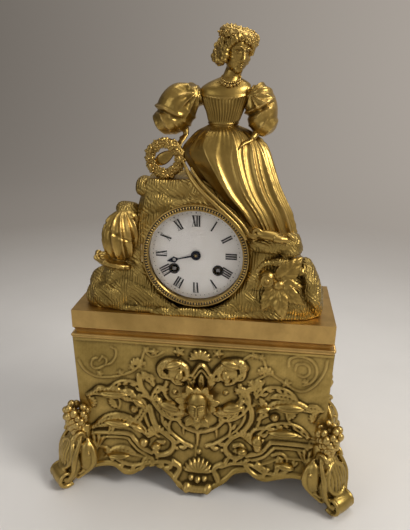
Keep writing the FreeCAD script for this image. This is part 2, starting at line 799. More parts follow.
def rock(outside):
    seat_wall = along_y(CASE_RADIUS + ROCK_WALL, -OVERRUN, OVERRUN, DIAL_X, DIAL_Z)
    hollow = rock_inside().cut(seat_wall)
    for side in (-1, 1):
        boss = upright(BOLT_BOSS, SLAB_TOP_Z, DIAL_Z, side * BOLT_X, 0)
        hollow = hollow.cut(boss)
    bore = along_y(CASE_RADIUS + CASE_CLEARANCE, -OVERRUN, OVERRUN, DIAL_X, DIAL_Z)
    recess_back = CASE_FRONT_Y + FLANGE_THICKNESS + CASE_CLEARANCE
    recess_radius = FLANGE_RADIUS + 2 * CASE_CLEARANCE
    recess = Part.makeCone(
        recess_radius, recess_radius + OVERRUN * SWING_SLOPE, recess_back + OVERRUN,
        Vector(DIAL_X, recess_back, DIAL_Z), Vector(0, -1, 0),
    )
    rear_front = CASE_BACK_Y - FLANGE_THICKNESS - CASE_CLEARANCE
    rear_recess = along_y(FLANGE_RADIUS + 2 * CASE_CLEARANCE, rear_front, OVERRUN, DIAL_X, DIAL_Z)
    body = outside.cut(hollow).cut(bore).cut(recess).cut(rear_recess)
    body = body.cut(case_slot(SLAB_TOP_Z, DIAL_Z))
    body = body.cut(hinge_room(front_hinge()[0], -OVERRUN, recess_back))
    body = body.cut(hinge_room(rear_hinge()[0], rear_front - KNUCKLE_RADIUS, OVERRUN))
    for hole in bolt_rods(BOLT_CLEARANCE, SLAB_TOP_Z, SLAB_TOP_Z + BOLT_REACH + BOLT_CLEARANCE):
        body = body.cut(hole)
    save("rock_mound", largest(body))


def hinge_room(x, front, back):
    """Space in the rock for a hinge and its swing."""
    side = (x - 2 * KNUCKLE_RADIUS, DIAL_X - CASE_RADIUS)
    reach = 2 * KNUCKLE_LENGTH
    return block(side, (front, back), (DIAL_Z - reach, DIAL_Z + reach))


def case_slot(low, high):
    x = (DIAL_X - CASE_SLOT_WIDTH / 2, DIAL_X + CASE_SLOT_WIDTH / 2)
    return block(x, (CASE_SLOT_FRONT_Y, CASE_SLOT_BACK_Y), (low, high))


# Figure

skirt_shares = (
    (0.000, 0.237, 0.474, -0.242, 0.084),
    (0.047, 0.195, 0.463, -0.242, 0.116),
    (0.142, 0.111, 0.432, -0.242, 0.137),
    (0.237, 0.000, 0.384, -0.237, 0.147),
    (0.326, -0.079, 0.347, -0.221, 0.147),
    (0.405, -0.126, 0.316, -0.200, 0.142),
    (0.453, -0.111, 0.284, -0.179, 0.126),
    (0.505, -0.058, 0.226, -0.137, 0.095),
    (0.537, 0.005, 0.147, -0.079, 0.047),
)
bodice_shares = (
    (0.537, 0.005, 0.147, -0.079, 0.047),
    (0.595, -0.005, 0.168, -0.089, 0.047),
    (0.647, -0.026, 0.189, -0.100, 0.053),
    (0.700, -0.037, 0.205, -0.089, 0.053),
    (0.737, 0.000, 0.195, -0.068, 0.047),
    (0.768, 0.063, 0.147, -0.042, 0.032),
)
ROUND_SHARE = 0.85


def figure_row(share, folds, depth_share):
    return box_section(
        share, FIGURE_HEIGHT, 0, 0, FIGURE_Z, SKIRT_POINTS, ROUND_SHARE, folds, depth_share
    )


def figure(outside):
    skirt_rows = [figure_row(share, SKIRT_FOLDS, FOLD_DEPTH_SHARE) for share in skirt_shares]
    bezel_room = along_y(BEZEL_RADIUS + CASE_CLEARANCE * 4, -OVERRUN * 2, OVERRUN, DIAL_X, DIAL_Z)
    skirt = largest(loft_rows(skirt_rows).cut(outside).cut(bezel_room))
    bodice_rows = [figure_row(share, PLEATS, PLEAT_SHARE) for share in bodice_shares]
    bodice = largest(loft_rows(bodice_rows).cut(skirt))
    head_place = (HEAD_X, HEAD_Y, HEAD_Z)
    head = blob(head_place, HEAD_HALF_WIDTH, HEAD_HALF_DEPTH, HEAD_HALF_HEIGHT)
    neck = upright(NECK_RADIUS, NECK_BASE_Z, HEAD_Z, (HEAD_X + bodice.CenterOfMass.x) / 2, HEAD_Y)
    head = head.fuse(neck).cut(bodice)
    hair = blob(
        (HEAD_X - HAIR_OUT, HEAD_Y + HAIR_OUT, HEAD_Z + HAIR_OUT),
        HEAD_HALF_WIDTH + HAIR_OUT, HEAD_HALF_DEPTH, HEAD_HALF_HEIGHT,
    )
    ringlets = [
        Part.makeSphere(CURL_BALL, Vector(
            HEAD_X - HEAD_HALF_WIDTH - HAIR_OUT + k * CURL_BALL * HALF,
            HEAD_Y - CURL_BALL,
            HEAD_Z + HAIR_OUT - k * CURL_BALL,
        ))
        for k in range(RINGLETS)
    ]
    hair = hair.multiFuse(ringlets).cut(head).cut(bodice)
    crown = flower_ring(Vector(HEAD_X - HAIR_OUT, HEAD_Y + HAIR_OUT, CROWN_Z)).cut(hair).cut(head)
    save("figure_skirt", with_shoe(skirt, outside))
    save("figure_bodice", bodice)
    save("figure_head", largest(head))
    save("figure_hair", largest(hair))
    save("flower_crown", largest(crown))
    arms(skirt, bodice)
    return skirt


def largest(shape):
    """The main solid of a cut that may leave slivers."""
    return max(shape.Solids, key=lambda solid: solid.Volume)


def flower_ring(centre):
    core = Part.makeTorus(CROWN_RADIUS, CROWN_FLOWER * HALF, centre)
    flowers = []
    for k in range(CROWN_FLOWERS):
        angle = FULL_TURN * k / CROWN_FLOWERS
        place = centre + Vector(CROWN_RADIUS * math.cos(angle), CROWN_RADIUS * math.sin(angle), 0)
        flowers.append(Part.makeSphere(CROWN_FLOWER, place))
    ring = core.multiFuse(flowers)
    ring.rotate(centre, Vector(0, 1, 0), CROWN_LEAN)
    return ring


def arms(skirt, bodice):
    sides = (
        ("left", LEFT_SLEEVE_X, SLEEVE_HALF_WIDTH, -1),
        ("right", RIGHT_SLEEVE_X, RIGHT_SLEEVE_HALF_WIDTH, 1),
    )
    hands = []
    for name, x, half_width, side in sides:
        sleeve = blob((x, HEAD_Y - HAIR_OUT, SLEEVE_Z), half_width, SLEEVE_HALF_DEPTH, SLEEVE_HALF_HEIGHT)
        sleeve = largest(sleeve.cut(bodice).cut(skirt))
        save(f"figure_sleeve_{name}", sleeve)
        start = Vector(x, HEAD_Y - SLEEVE_HALF_DEPTH * HALF, SLEEVE_Z - SLEEVE_HALF_HEIGHT * HALF)
        reach = Vector(-side * HAND_LENGTH, -HAND_LENGTH * HALF, -HAND_LENGTH * HAND_DROP_SHARE)
        forearm = Part.makeCylinder(FOREARM_RADIUS, reach.Length, start, reach)
        hand = Part.makeSphere(FOREARM_RADIUS, start + reach)
        hands.append(largest(forearm.fuse(hand).cut(sleeve).cut(bodice).cut(skirt)))
    save("figure_hands", Part.makeCompound(hands))


def with_shoe(skirt, outside):
    shoe = blob((SHOE_X, SHOE_FRONT_Y, SHOE_Z), SHOE_LENGTH / 2, SHOE_RADIUS, SHOE_RADIUS)
    return largest(skirt.fuse(shoe.cut(outside)))


# Wreath, bonnet and leaf spray on the rock

def rock_dressing(outside, skirt):
    centre = Vector(WREATH_X, WREATH_Y, ROCK_TOP_Z + WREATH_RADIUS + WREATH_BAND - WREATH_SINK)
    wreath = Part.makeTorus(WREATH_RADIUS, WREATH_BAND, centre, Vector(0, 1, 0))
    save("flower_wreath", largest(wreath.cut(outside).cut(skirt)))
    bonnet = blob((BONNET_X, BONNET_Y, BONNET_Z), BONNET_HALF_WIDTH, BONNET_HALF_DEPTH, BONNET_HALF_HEIGHT)
    brim = blob((BRIM_X, BONNET_Y, BRIM_Z), BRIM_HALF_WIDTH, BRIM_HALF_DEPTH, BRIM_HALF_HEIGHT)
    save("bonnet", largest(bonnet.fuse(brim).cut(outside)))
    back = SPRAY_Y + 2 * SPRAY_THICKNESS
    fruit = Part.makeSphere(SPRAY_FRUIT, Vector(SPRAY_X - SPRAY_FRUIT, SPRAY_Y, SPRAY_Z + SPRAY_FRUIT))
    leaves = [fruit]
    for k in range(SPRAY_LEAVES):
        angle = math.radians(SPRAY_FIRST_ANGLE + k * SPRAY_STEP_ANGLE)
        tip = polar(SPRAY_X, SPRAY_Z, SPRAY_LEAF, angle)
        middle = polar(SPRAY_X, SPRAY_Z, SPRAY_LEAF / 2, angle)
        left = polar(middle[0], middle[1], SPRAY_LEAF_HALF, angle + math.pi / 2)
        right = polar(middle[0], middle[1], SPRAY_LEAF_HALF, angle - math.pi / 2)
        leaves.append(sheet_y([(SPRAY_X, SPRAY_Z), left, tip, right], SPRAY_Y - SPRAY_THICKNESS, back))
    save("leaf_spray", largest(leaves[0].multiFuse(leaves[1:]).cut(outside)))


# Movement case, rear cover and their hinges

def knuckle_spans(moving):
    """Heights of the hinge barrels: one in the middle moves, the two beside it are fixed."""
    middle = KNUCKLE_LENGTH / 2
    if moving:
        return [(-middle, middle)]
    near = middle + KNUCKLE_GAP
    far = middle + KNUCKLE_LENGTH
    return [(-far, -near), (near, far)]


def front_hinge():
    return DIAL_X - BEZEL_RADIUS - HINGE_OUT, (BEZEL_BACK_Y + CASE_FRONT_Y) / 2 - KNUCKLE_RADIUS * HALF


def rear_hinge():
    return DIAL_X - FLANGE_RADIUS - HINGE_OUT, CASE_BACK_Y + COVER_GAP


def hinge_tabs(x, target_x, low_y, high_y, spans):
    """Flat leaves that join each hinge barrel to its ring."""
    return [block((x, target_x), (low_y, high_y), (DIAL_Z + low, DIAL_Z + high)) for low, high in spans]


def hinged(body, x, y, target_x, low_y, high_y, moving):
    spans = knuckle_spans(moving)
    barrels = [upright(KNUCKLE_RADIUS, DIAL_Z + low, DIAL_Z + high, x, y) for low, high in spans]
    leaves = hinge_tabs(x, target_x, low_y, high_y, spans)
    reach = 2 * KNUCKLE_LENGTH
    hole = upright(PIN_RADIUS + PIN_CLEARANCE, DIAL_Z - reach, DIAL_Z + reach, x, y)
    return body.multiFuse(barrels + leaves).cut(hole)


def case_drum():
    body = ring_y(CASE_RADIUS, CASE_BORE, CASE_FRONT_Y, CASE_BACK_Y, DIAL_X, DIAL_Z)
    flange_back = CASE_FRONT_Y + FLANGE_THICKNESS
    body = body.fuse(ring_y(FLANGE_RADIUS, CASE_BORE, CASE_FRONT_Y, flange_back, DIAL_X, DIAL_Z))
    rim_front = CASE_BACK_Y - FLANGE_THICKNESS
    body = body.fuse(ring_y(FLANGE_RADIUS, CASE_BORE, rim_front, CASE_BACK_Y, DIAL_X, DIAL_Z))
    body = body.cut(case_slot(SLAB_TOP_Z, DIAL_Z))
    x, y = front_hinge()
    body = hinged(body, x, y, DIAL_X - CASE_BORE - CASE_WALL, CASE_FRONT_Y, flange_back, False)
    x, y = rear_hinge()
    body = hinged(body, x, y, DIAL_X - CASE_BORE - CASE_WALL, rim_front, CASE_BACK_Y, False)
    save("case_drum", body)


def rear_cover():
    low = CASE_BACK_Y + COVER_GAP
    plate = along_y(FLANGE_RADIUS, low, low + COVER_THICKNESS, DIAL_X, DIAL_Z)
    lip_low = CASE_BACK_Y - FLANGE_THICKNESS
    lip = ring_y(CASE_BORE - COVER_GAP, CASE_BORE - CASE_WALL - COVER_GAP, lip_low, low, DIAL_X, DIAL_Z)
    x, y = rear_hinge()
    side = (x, DIAL_X - CASE_BORE + LIP_OPENING)
    lip = lip.cut(block(side, (lip_low, low), (DIAL_Z - OVERRUN, DIAL_Z + OVERRUN)))
    target = DIAL_X - FLANGE_RADIUS + KNUCKLE_RADIUS
    body = hinged(plate.fuse(lip), x, y, target, low, low + COVER_THICKNESS, True)
    save("rear_cover", body.cut(fixed_knuckle_room(x, y)))


def fixed_knuckle_room(x, y):
    grown = [
        upright(KNUCKLE_RADIUS + KNUCKLE_GAP, DIAL_Z + low - KNUCKLE_GAP, DIAL_Z + high + KNUCKLE_GAP, x, y)
        for low, high in knuckle_spans(False)
    ]
    return grown[0].fuse(grown[1])


def front_bezel():
    profile = [
        Vector(BEZEL_SIGHT, BEZEL_FRONT_Y + BEZEL_LIP, 0),
        Vector(BEZEL_SIGHT, BEZEL_FRONT_Y + 2 * BEZEL_LIP, 0),
        Vector(CASE_BORE + GLASS_CLEARANCE, BEZEL_FRONT_Y + 2 * BEZEL_LIP, 0),
        Vector(CASE_BORE + GLASS_CLEARANCE, BEZEL_BACK_Y, 0),
        Vector(BEZEL_RADIUS, BEZEL_BACK_Y, 0),
        Vector(BEZEL_RADIUS, BEZEL_FRONT_Y + BEZEL_LIP, 0),
    ]
    crown = Vector((BEZEL_SIGHT + BEZEL_RADIUS) / 2, BEZEL_FRONT_Y, 0)
    edges = [Part.makeLine(profile[k], profile[k + 1]) for k in range(len(profile) - 1)]
    edges.append(Part.Arc(profile[-1], crown, profile[0]).toShape())
    ring = Part.Face(Part.Wire(edges)).revolve(Vector(0, 0, 0), Vector(0, 1, 0), math.degrees(FULL_TURN))
    ring.translate(Vector(DIAL_X, 0, DIAL_Z))
    x, y = front_hinge()
    target = DIAL_X - (CASE_BORE + BEZEL_RADIUS) / 2
    ring = hinged(ring, x, y, target, y - KNUCKLE_RADIUS, y, True)
    save("front_bezel", ring.cut(fixed_knuckle_room(x, y)))
    back = BEZEL_FRONT_Y + 2 * BEZEL_LIP + GLASS_THICKNESS + GLASS_CLEARANCE
    save("bezel_glass", domed_disc(CASE_BORE, back, GLASS_THICKNESS, GLASS_CROWN))


def dome(radius, crown, tip_y, sign, x=DIAL_X, z=DIAL_Z):
    """The ball whose cap of a given rim and crown has its tip at tip_y, bowed towards sign."""
    ball = (radius ** 2 + crown ** 2) / (2 * crown)
    return Part.makeSphere(ball, Vector(x, tip_y - sign * ball, z))


def domed_disc(radius, back, thickness, crown):
    """A round disc bowed towards -Y, of even thickness."""
    tip = back - crown - thickness
    disc = along_y(radius, tip, back, DIAL_X, DIAL_Z)
    return disc.common(dome(radius, crown, tip, -1)).cut(dome(radius, crown, back - crown, -1))


def hinge_pins():
    pins = []
    reach = HALF * KNUCKLE_LENGTH + KNUCKLE_LENGTH
    for x, y in (front_hinge(), rear_hinge()):
        pins.append(upright(PIN_RADIUS, DIAL_Z - reach, DIAL_Z + reach, x, y))
    save("hinge_pins", Part.makeCompound(pins))


# Dial

def winding_places():
    return [(DIAL_X + side * BARREL_X, DIAL_Z - BARREL_DROP) for side in (-1, 1)]


def dial():
    back = DIAL_Y + ENAMEL_THICKNESS
    enamel = domed_disc(DIAL_RADIUS, back, ENAMEL_THICKNESS, DIAL_CROWN)
    plate = along_y(DIAL_RADIUS, back, back + DIAL_PLATE_THICKNESS, DIAL_X, DIAL_Z)
    for k in range(DIAL_FEET):
        angle = math.pi / 2 + FULL_TURN * k / DIAL_FEET
        x, z = polar(DIAL_X, DIAL_Z, DIAL_FOOT_RING, angle)
        plate = plate.fuse(along_y(DIAL_FOOT_RADIUS, back + DIAL_PLATE_THICKNESS, PLATE_FRONT_Y, x, z))
    holes = [along_y(DIAL_HOLE, -OVERRUN, back + 2 * DIAL_PLATE_THICKNESS, DIAL_X, DIAL_Z)]
    for x, z in winding_places():
        holes.append(along_y(WINDING_HOLE, -OVERRUN, back + 2 * DIAL_PLATE_THICKNESS, x, z))
    for hole in holes:
        enamel = enamel.cut(hole)
        plate = plate.cut(hole)
    save("enamel_dial", enamel)
    save("dial_plate", plate)


# Gears

def gear(teeth, module, x, z, start, thickness, phase, crossings=0):
    """A toothed wheel; one tooth points along phase."""
    pitch_radius = teeth * module / 2
    root = pitch_radius - module * TOOTH_DEDENDUM_SHARE
    tip = pitch_radius + module * TOOTH_ADDENDUM_SHARE
    step = FULL_TURN / teeth
    points = []
    for k in range(teeth):
        centre = phase + k * step
        root_half = TOOTH_ROOT_SHARE * step / 2
        tip_half = TOOTH_TIP_SHARE * step / 2
        flanks = ((root, -root_half), (tip, -tip_half), (tip, tip_half), (root, root_half))
        points += [polar(x, z, radius, centre + turn) for radius, turn in flanks]
    wheel = sheet_y(points, start, start + thickness)
    return crossed_out(wheel, root, x, z, start, thickness, crossings)


def crossed_out(wheel, radius, x, z, start, thickness, crossings):
    """A wheel lightened by round openings between its spokes."""
    for k in range(crossings):
        place = polar(x, z, radius * CROSSING_RING_SHARE, FULL_TURN * (k + HALF) / crossings)
        opening = along_y(radius * CROSSING_SHARE, start, start + thickness, place[0], place[1])
        wheel = wheel.cut(opening)
    return wheel


def direction(place, other):
    return math.atan2(other[1] - place[1], other[0] - place[0])


def mate_phase(teeth, angle):
    """Phase of a gear whose partner has a tooth on the line of centres at angle from the partner."""
    return angle + math.pi + math.pi / teeth


def meet(first, first_reach, second, second_reach, side):
    """The point at two given distances from two places; side picks which of the two."""
    span = math.dist(first, second)
    along = (first_reach ** 2 - second_reach ** 2 + span ** 2) / (2 * span)
    off = side * math.sqrt(first_reach ** 2 - along ** 2)
    unit = ((second[0] - first[0]) / span, (second[1] - first[1]) / span)
    return first[0] + along * unit[0] - off * unit[1], first[1] + along * unit[1] + off * unit[0]


def centres(teeth, pinion, module):
    return module * (teeth + pinion) / 2


def arbor(x, z, front=None, back=None):
    """An arbor between the plates with a thinner pivot at each end."""
    low = PLATE_BACK_Y + SHOULDER_GAP if front is None else front
    high = REAR_PLATE_Y - SHOULDER_GAP if back is None else back
    body = along_y(ARBOR_RADIUS, low, high, x, z)
    pivot_low = PLATE_FRONT_Y if front is None else front
    pivot_high = REAR_FACE_Y if back is None else back
    return body.fuse(along_y(PIVOT_RADIUS, pivot_low, pivot_high, x, z))


CENTRE = (DIAL_X, DIAL_Z)
GOING = (DIAL_X + BARREL_X, DIAL_Z - BARREL_DROP)
STRIKE = (DIAL_X - BARREL_X, DIAL_Z - BARREL_DROP)
SECOND = meet(
    GOING, centres(GREAT_TEETH, GREAT_PINION, GREAT_MODULE),
    CENTRE, centres(SECOND_TEETH, CENTRE_PINION, SECOND_MODULE), -1,
)
ESCAPE = (DIAL_X, DIAL_Z + ESCAPE_RISE)
THIRD = meet(
    CENTRE, centres(CENTRE_TEETH, THIRD_PINION, CENTRE_MODULE),
    ESCAPE, centres(THIRD_TEETH, ESCAPE_PINION, THIRD_MODULE), -1,
)
PIN_WHEEL_ANGLE = math.radians(95.0)
STRIKE_THIRD_ANGLE = math.radians(60.0)
FLY_ANGLE = math.radians(95.0)
PIN_WHEEL_REACH = centres(STRIKE_TEETH, STRIKE_PINION, STRIKE_MODULE)
PIN_WHEEL = polar(STRIKE[0], STRIKE[1], PIN_WHEEL_REACH, PIN_WHEEL_ANGLE)
STRIKE_THIRD_REACH = centres(PIN_WHEEL_TEETH, PIN_WHEEL_PINION, PIN_WHEEL_MODULE)
STRIKE_THIRD = polar(PIN_WHEEL[0], PIN_WHEEL[1], STRIKE_THIRD_REACH, STRIKE_THIRD_ANGLE)
FLY_REACH = centres(STRIKE_THIRD_TEETH, FLY_PINION, FLY_MODULE)
FLY = polar(STRIKE_THIRD[0], STRIKE_THIRD[1], FLY_REACH, FLY_ANGLE)
ANCHOR = (DIAL_X, PIVOT_Z)
HAMMER = (DIAL_X + HAMMER_X, DIAL_Z - HAMMER_DROP)
MINUTE_ANGLE = math.radians(-90.0)
MINUTE = polar(DIAL_X, DIAL_Z, centres(MINUTE_TEETH, CANNON_TEETH, MINUTE_MODULE), MINUTE_ANGLE)
HOUR_MODULE = 2 * centres(MINUTE_TEETH, CANNON_TEETH, MINUTE_MODULE) / (HOUR_TEETH + MINUTE_PINION)


def barrel(name, place, teeth, module, partner):
    x, z = place
    start = PLATE_BACK_Y + BARREL_LEVEL
    phase = direction(place, partner)
    great = gear(teeth, module, x, z, start, GREAT_WHEEL_THICKNESS, phase)
    outer = teeth * module / 2 - BARREL_RIM_IN
    drum_start = start + GREAT_WHEEL_THICKNESS
    drum_end = drum_start + BARREL_LENGTH
    drum = along_y(outer, drum_start, drum_end, x, z)
    room = along_y(outer - BARREL_WALL, drum_start, drum_end - BARREL_WALL, x, z)
    body = great.fuse(drum.cut(room))
    body = body.cut(along_y(BARREL_ARBOR + PIVOT_CLEARANCE, start, drum_end, x, z))
    save(f"{name}_barrel", body)
    save(f"{name}_mainspring", mainspring(x, z, outer - BARREL_WALL, drum_start, drum_end - BARREL_WALL))
    front = DIAL_Y - ENAMEL_THICKNESS * HALF
    shaft = along_y(BARREL_ARBOR, PLATE_BACK_Y + SHOULDER_GAP, REAR_PLATE_Y - SHOULDER_GAP, x, z)
    pivots = along_y(SQUARE_SIDE * HALF * math.sqrt(2.0), PLATE_FRONT_Y - SHOULDER_GAP, REAR_FACE_Y, x, z)
    half = SQUARE_SIDE / 2
    square = block((x - half, x + half), (front, PLATE_FRONT_Y), (z - half, z + half))
    tail = count_stud(x, z) if name == "strike" else []
    save(f"{name}_winding_arbor", joined([shaft, pivots, square] + tail))


def mainspring(x, z, outer, start, end):
    """The spring wound against the barrel wall, as nested coils joined by a bridge."""
    low = start + SHOULDER_GAP
    high = end - SHOULDER_GAP
    edge = outer - SHOULDER_GAP
    pitch = 2 * SPRING_THICKNESS
    coils = [
        ring_y(edge - k * pitch, edge - k * pitch - SPRING_THICKNESS, low, high, x, z)
        for k in range(SPRING_COILS)
    ]
    inner = edge - SPRING_COILS * pitch
    bridge = block((x + inner, x + edge - SPRING_THICKNESS * HALF), (low, high), (z, z + SPRING_THICKNESS))
    return joined(coils + [bridge])


def train():
    barrel("going", GOING, GREAT_TEETH, GREAT_MODULE, SECOND)
    barrel("strike", STRIKE, STRIKE_TEETH, STRIKE_MODULE, PIN_WHEEL)
    wheel_pinion(
        "second_wheel", SECOND, SECOND_TEETH, SECOND_MODULE, SECOND_LEVEL, CENTRE,
        GREAT_PINION, GREAT_MODULE, BARREL_LEVEL, GOING,
    )
    wheel_pinion(
        "third_wheel", THIRD, THIRD_TEETH, THIRD_MODULE, THIRD_LEVEL, ESCAPE,
        THIRD_PINION, CENTRE_MODULE, CENTRE_LEVEL, CENTRE,
    )
    wheel_pinion(
        "strike_third_wheel", STRIKE_THIRD, STRIKE_THIRD_TEETH, FLY_MODULE, STRIKE_THIRD_LEVEL, FLY,
        PIN_WHEEL_PINION, PIN_WHEEL_MODULE, SECOND_LEVEL, PIN_WHEEL,
    )
    centre_wheel()
    escape_wheel()
    pin_wheel()
    fly()


def wheel_pinion(name, place, teeth, module, level, driven, pinion, pinion_module, pinion_level, driver):
    """An arbor with a wheel that drives the next pinion and a pinion that the last wheel drives."""
    x, z = place
    wheel = gear(
        teeth, module, x, z, PLATE_BACK_Y + level, WHEEL_THICKNESS, direction(place, driven), CROSSINGS
    )
    phase = mate_phase(pinion, direction(driver, place))
    leaves = pinion_at(pinion, pinion_module, x, z, pinion_level, phase)
    save(name, joined([arbor(x, z), wheel, leaves]))


def pinion_at(teeth, module, x, z, wheel_level, phase):
    """A pinion a little longer than the wheel it meets."""
    spare = (PINION_THICKNESS - WHEEL_THICKNESS) / 2
    low = max(PLATE_BACK_Y + wheel_level - spare, PLATE_BACK_Y + SHOULDER_GAP)
    high = min(low + PINION_THICKNESS, REAR_PLATE_Y - SHOULDER_GAP)
    return gear(teeth, module, x, z, low, high - low, phase)


def centre_wheel():
    x, z = CENTRE
    phase = mate_phase(CENTRE_PINION, direction(SECOND, CENTRE))
    leaves = pinion_at(CENTRE_PINION, SECOND_MODULE, x, z, SECOND_LEVEL, phase)
    wheel = gear(
        CENTRE_TEETH, CENTRE_MODULE, x, z, PLATE_BACK_Y + CENTRE_LEVEL, WHEEL_THICKNESS,
        direction(CENTRE, THIRD), CROSSINGS,
    )
    shaft = along_y(CENTRE_ARBOR, centre_tip(), REAR_PLATE_Y - SHOULDER_GAP, x, z)
    pivot = along_y(PIVOT_RADIUS, REAR_PLATE_Y - 2 * SHOULDER_GAP, REAR_FACE_Y, x, z)
    save("centre_wheel", joined([shaft, pivot, leaves, wheel]))


def centre_tip():
    return DIAL_Y - DIAL_CROWN - HAND_GAP - 2 * HAND_THICKNESS - HAND_THICKNESS


escape_tooth_shares = (0.0, 0.45, 0.5, 0.62)


def escape_wheel():
    x, z = ESCAPE
    start = PLATE_BACK_Y + ESCAPE_LEVEL
    step = FULL_TURN / ESCAPE_TEETH
    rim = ESCAPE_RADIUS - ESCAPE_TOOTH
    points = []
    for k in range(ESCAPE_TEETH):
        for radius, share in zip((rim, ESCAPE_RADIUS, ESCAPE_RADIUS, rim), escape_tooth_shares):
            points.append(polar(x, z, radius, (k + share) * step))
    wheel = sheet_y(points, start, start + WHEEL_THICKNESS)
    wheel = crossed_out(wheel, rim, x, z, start, WHEEL_THICKNESS, CROSSINGS)
    phase = mate_phase(ESCAPE_PINION, direction(THIRD, ESCAPE))
    leaves = pinion_at(ESCAPE_PINION, THIRD_MODULE, x, z, THIRD_LEVEL, phase)
    save("escape_wheel", joined([arbor(x, z), wheel, leaves]))


def pin_wheel():
    x, z = PIN_WHEEL
    start = PLATE_BACK_Y + SECOND_LEVEL
    wheel = gear(
        PIN_WHEEL_TEETH, PIN_WHEEL_MODULE, x, z, start, WHEEL_THICKNESS,
        direction(PIN_WHEEL, STRIKE_THIRD), CROSSINGS,
    )
    phase = mate_phase(STRIKE_PINION, direction(STRIKE, PIN_WHEEL))
    leaves = pinion_at(STRIKE_PINION, STRIKE_MODULE, x, z, BARREL_LEVEL, phase)
    ring = PIN_WHEEL_TEETH * PIN_WHEEL_MODULE / 2 - 2 * PIVOT_RADIUS - PIN_WHEEL_MODULE
    pins = []
    for k in range(STRIKE_PINS):
        place = polar(x, z, ring, FULL_TURN * k / STRIKE_PINS)
        pins.append(along_y(PIVOT_RADIUS, start, start + 2 * WHEEL_THICKNESS, place[0], place[1]))
    back = count_level() + WHEEL_THICKNESS
    tail = along_y(PIVOT_RADIUS, REAR_PLATE_Y - SHOULDER_GAP, back, x, z)
    phase = mate_phase(STRIKE_PINION, direction(STRIKE, PIN_WHEEL))
    rear = gear(STRIKE_PINION, STRIKE_MODULE, x, z, count_level(), WHEEL_THICKNESS, phase)
    save("strike_pin_wheel", joined([arbor(x, z), wheel, leaves, tail, rear] + pins))


def count_level():
    return REAR_FACE_Y + SHOULDER_GAP * 2


def fly():
    x, z = FLY
    phase = mate_phase(FLY_PINION, direction(STRIKE_THIRD, FLY))
    leaves = pinion_at(FLY_PINION, FLY_MODULE, x, z, STRIKE_THIRD_LEVEL, phase)
    low = PLATE_BACK_Y + STRIKE_THIRD_LEVEL + PINION_THICKNESS
    half = FLY_WIDTH / 2
    thin = FLY_THICKNESS / 2
    blade = block((x - half, x + half), (low, low + FLY_LENGTH), (z - thin, z + thin))
    save("strike_fly", joined([arbor(x, z), leaves, blade]))


def count_wheel():
    x, z = STRIKE
    start = count_level()
    wheel = gear(
        STRIKE_TEETH, STRIKE_MODULE, x, z, start, WHEEL_THICKNESS, direction(STRIKE, PIN_WHEEL), CROSSINGS
    )
    bore = along_y(STUD_RADIUS + PIVOT_CLEARANCE, start, start + WHEEL_THICKNESS, x, z)
    save("count_wheel", wheel.cut(bore))


def count_stud(x, z):
    """The thin tail of the striking arbor, on which the count wheel turns, with its washer."""
    low = count_level() + WHEEL_THICKNESS + PIVOT_CLEARANCE
    high = low + SHOULDER_GAP
    tail = along_y(STUD_RADIUS, REAR_FACE_Y, high, x, z)
    return [tail, along_y(2 * STUD_RADIUS, low, high, x, z)]


# Plates and pillars

def pillar_places():
    return [polar(DIAL_X, DIAL_Z, PILLAR_RING, math.radians(angle)) for angle in PILLAR_ANGLES]


def pivot_places():
    return [SECOND, THIRD, ESCAPE, PIN_WHEEL, STRIKE_THIRD, FLY, HAMMER]


def plates():
    front = along_y(PLATE_RADIUS, PLATE_FRONT_Y, PLATE_BACK_Y, DIAL_X, DIAL_Z)
    rear = along_y(PLATE_RADIUS, REAR_PLATE_Y, REAR_FACE_Y, DIAL_X, DIAL_Z)
    hole_ends = (PLATE_FRONT_Y - PLATE_THICKNESS, REAR_FACE_Y + PLATE_THICKNESS)
    for x, z in pivot_places():
        hole = along_y(PIVOT_RADIUS + PIVOT_CLEARANCE, hole_ends[0], hole_ends[1], x, z)
        front = front.cut(hole)
        rear = rear.cut(hole)
    square_pivot = SQUARE_SIDE * HALF * math.sqrt(2.0) + PIVOT_CLEARANCE
    for x, z in (GOING, STRIKE):
        hole = along_y(square_pivot, hole_ends[0], hole_ends[1], x, z)
        front = front.cut(hole)
        rear = rear.cut(hole)
    x, z = CENTRE
    front = front.cut(along_y(CENTRE_ARBOR + PIVOT_CLEARANCE, hole_ends[0], PLATE_BACK_Y, x, z))
    rear = rear.cut(along_y(PIVOT_RADIUS + PIVOT_CLEARANCE, REAR_PLATE_Y, hole_ends[1], x, z))
    x, z = ANCHOR
    front = front.cut(along_y(PIVOT_RADIUS + PIVOT_CLEARANCE, hole_ends[0], PLATE_BACK_Y, x, z))
    rear = rear.cut(along_y(3 * ARBOR_RADIUS, REAR_PLATE_Y, hole_ends[1], x, z))
    x, z = MINUTE
    stud = along_y(STUD_RADIUS, minute_front(), PLATE_FRONT_Y, x, z)
    front = front.fuse(stud)
    save("front_plate", front)
    save("back_plate", rear)
    pillars = [along_y(PILLAR_RADIUS, PLATE_BACK_Y, REAR_PLATE_Y, x, z) for x, z in pillar_places()]
    save("plate_pillars", Part.makeCompound(pillars))


def straps():
    bars = []
    for side in (-1, 1):
        x = DIAL_X + side * STRAP_RADIUS
        half = STRAP_THICKNESS / 2
        z = (DIAL_Z - STRAP_WIDTH / 2, DIAL_Z + STRAP_WIDTH / 2)
        low = DIAL_Y + ENAMEL_THICKNESS + DIAL_PLATE_THICKNESS
        high = CASE_BACK_Y - FLANGE_THICKNESS - SHOULDER_GAP
        bars.append(block((x - half, x + half), (low, high), z))
    save("movement_straps", Part.makeCompound(bars))


# Motion work and hand

def minute_front():
    return PLATE_FRONT_Y - HOUR_LEVEL - WHEEL_THICKNESS - SHOULDER_GAP


